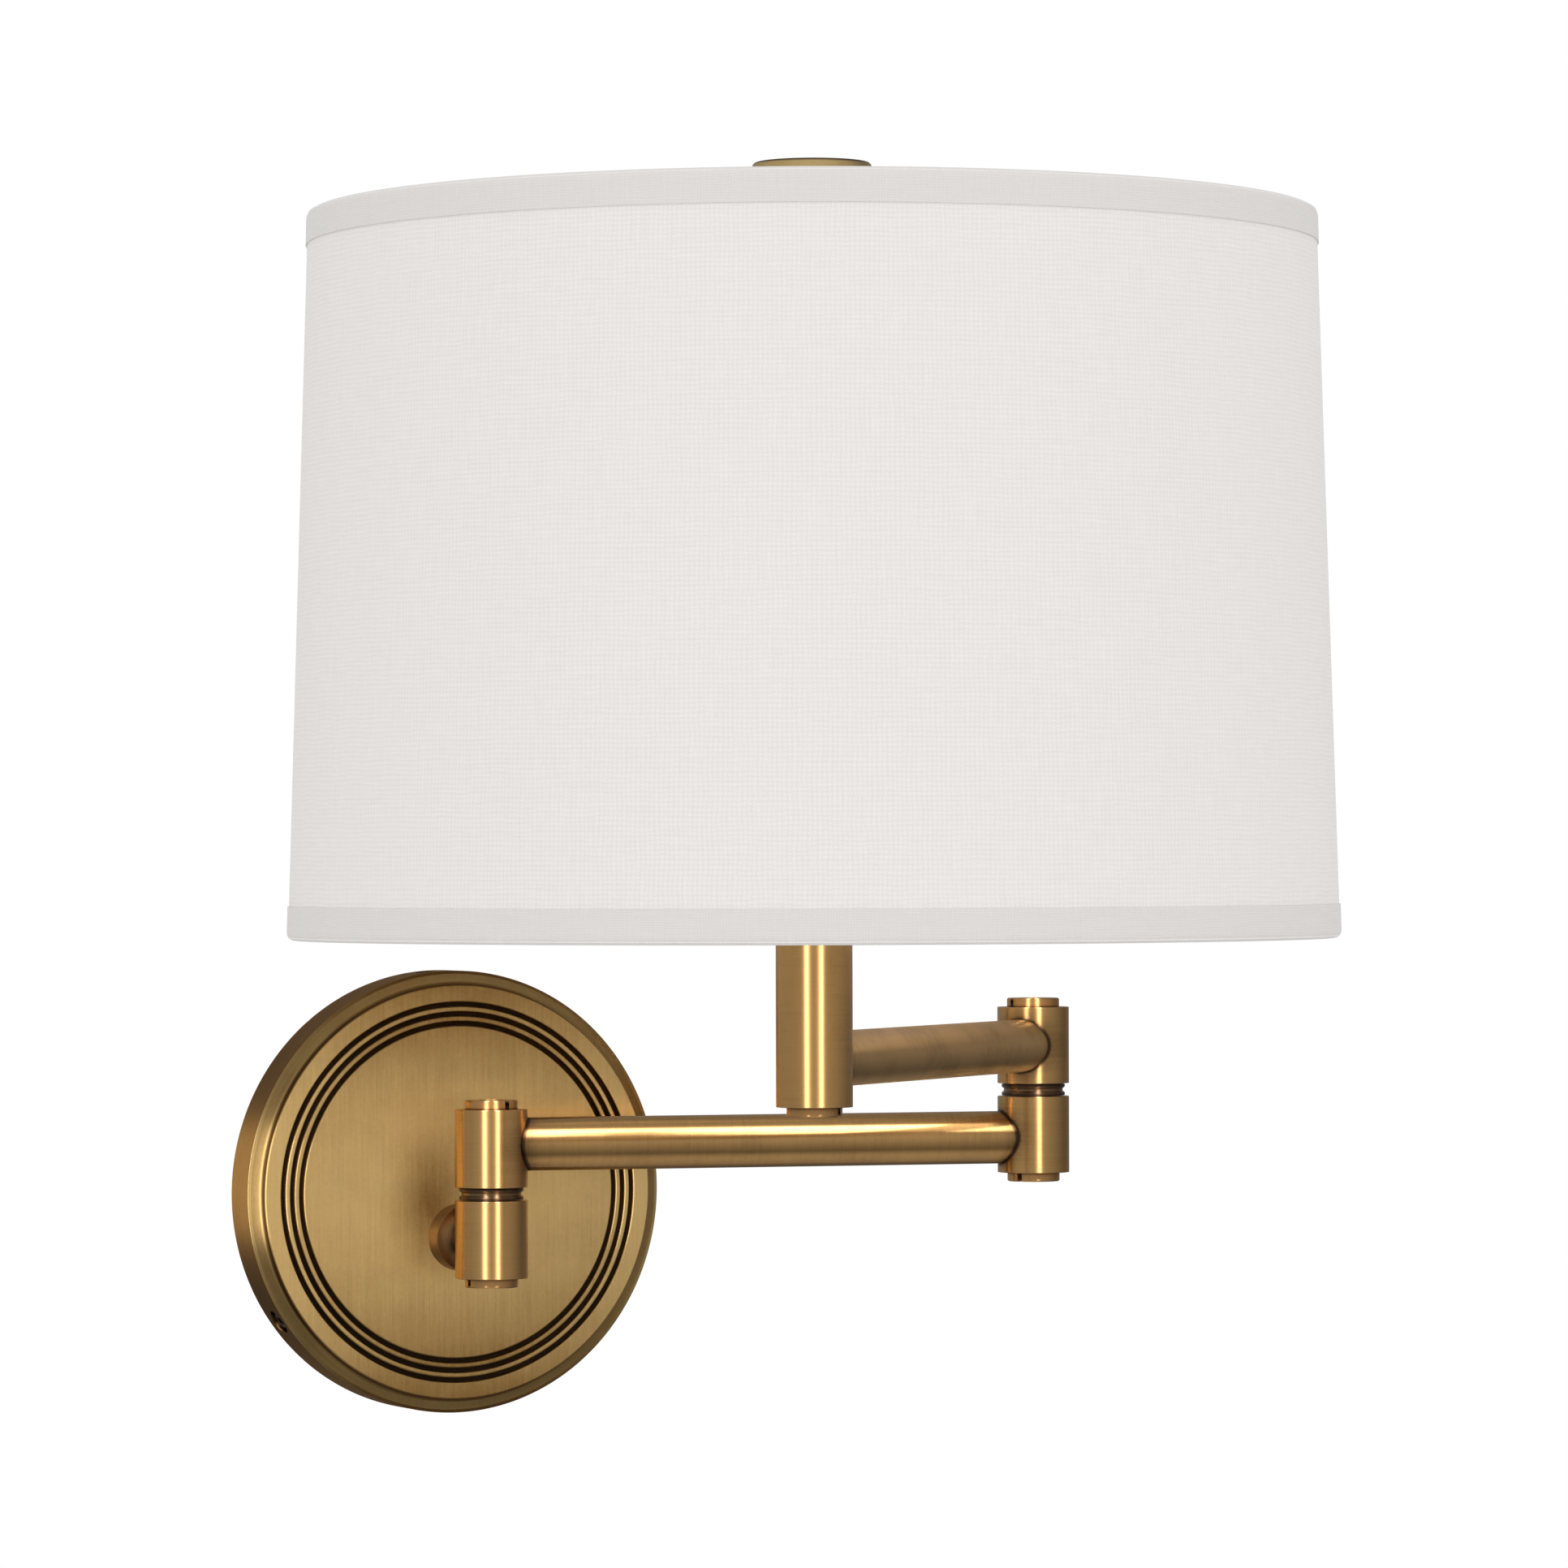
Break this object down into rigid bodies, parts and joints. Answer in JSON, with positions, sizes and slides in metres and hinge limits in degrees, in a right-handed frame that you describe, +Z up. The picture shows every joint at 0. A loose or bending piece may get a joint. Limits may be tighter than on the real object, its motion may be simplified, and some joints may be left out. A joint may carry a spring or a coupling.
{
  "type": "swing arm wall sconce",
  "caption": "Wall lamp with a round stepped backplate, two folding brass arms on upright friction swivels, and a tapered linen drum shade on a harp over the socket.",
  "frame": {"origin": "centre of the backplate's back rim, on the wall", "axes": "+X to the right along the wall, +Y into the wall, +Z up along the swivel axes"},
  "size_m": [0.3175, 0.3526, 0.3879],
  "materials": {
    "brass": "brushed antique brass, lacquered",
    "cap_brass": "polished reddish brass",
    "dark_brass": "darkened brass",
    "steel": "zinc plated",
    "black_steel": "black oxide",
    "green": "green plated ground screw",
    "fabric": "plain woven off-white linen",
    "trim": "folded band of the same linen",
    "liner": "white styrene",
    "wire": "white painted wire",
    "phenolic": "black phenolic",
    "card": "brown insulating card",
    "aluminium": "bright",
    "glass": "frosted white"
  },
  "bodies": {
    "wall_mount": {"backplate": "brass", "mounting_ring": "steel", "rim_screw_1": "black_steel", "rim_screw_2": "black_steel", "rim_screw_3": "black_steel", "ground_screw": "green", "wall_post": "brass", "post_nipple": "steel", "post_washer": "steel", "post_nut": "steel", "wall_lower_barrel": "brass", "wall_bottom_cap": "cap_brass", "wall_spacer": "dark_brass", "wall_stem": "steel", "wall_spring_washer": "steel", "wall_nut": "steel"},
    "inner_arm": {"wall_upper_barrel": "brass", "wall_top_cap": "cap_brass", "inner_arm": "brass", "elbow_lower_barrel": "brass", "elbow_bottom_cap": "cap_brass", "elbow_spacer": "dark_brass", "elbow_stem": "steel", "elbow_spring_washer": "steel", "elbow_nut": "steel"},
    "lamp_arm": {"elbow_upper_barrel": "brass", "elbow_top_cap": "cap_brass", "outer_arm": "brass", "column": "brass", "column_cap": "cap_brass", "column_plug": "brass", "socket_nut": "steel", "socket_nipple": "steel", "harp_saddle": "brass", "harp": "brass", "harp_ferrule_left": "brass", "harp_ferrule_right": "brass", "socket_cap": "brass", "socket_shell": "brass", "socket_sleeve": "card", "socket_body": "phenolic", "screw_shell": "aluminium", "bulb_base": "aluminium", "bulb_globe": "glass", "shade_fabric": "fabric", "shade_liner": "liner", "top_trim": "trim", "bottom_trim": "trim", "top_ring": "wire", "bottom_ring": "wire", "spider_hub": "wire", "spider_arm_1": "wire", "spider_arm_2": "wire", "spider_arm_3": "wire", "harp_stud": "brass", "finial": "brass"},
    "switch": {"switch_shaft": "brass", "switch_knob": "phenolic"}
  },
  "joints": [
    {"name": "wall_swivel", "type": "hinge", "parent": "wall_mount", "child": "inner_arm", "pos_m": [0, -0.0454, 0.0006], "axis": [0, 0, 1], "range_deg": [-166.1, 3.9]},
    {"name": "elbow_swivel", "type": "hinge", "parent": "inner_arm", "child": "lamp_arm", "pos_m": [0.17882, -0.0734, 0.0316], "axis": [0, 0, 1], "range_deg": [-20.6, 279.4]},
    {"name": "switch_turn", "type": "hinge", "parent": "lamp_arm", "child": "switch", "pos_m": [0.04368, -0.19381, 0.127], "axis": [0, -1, 0], "continuous": true}
  ]
}
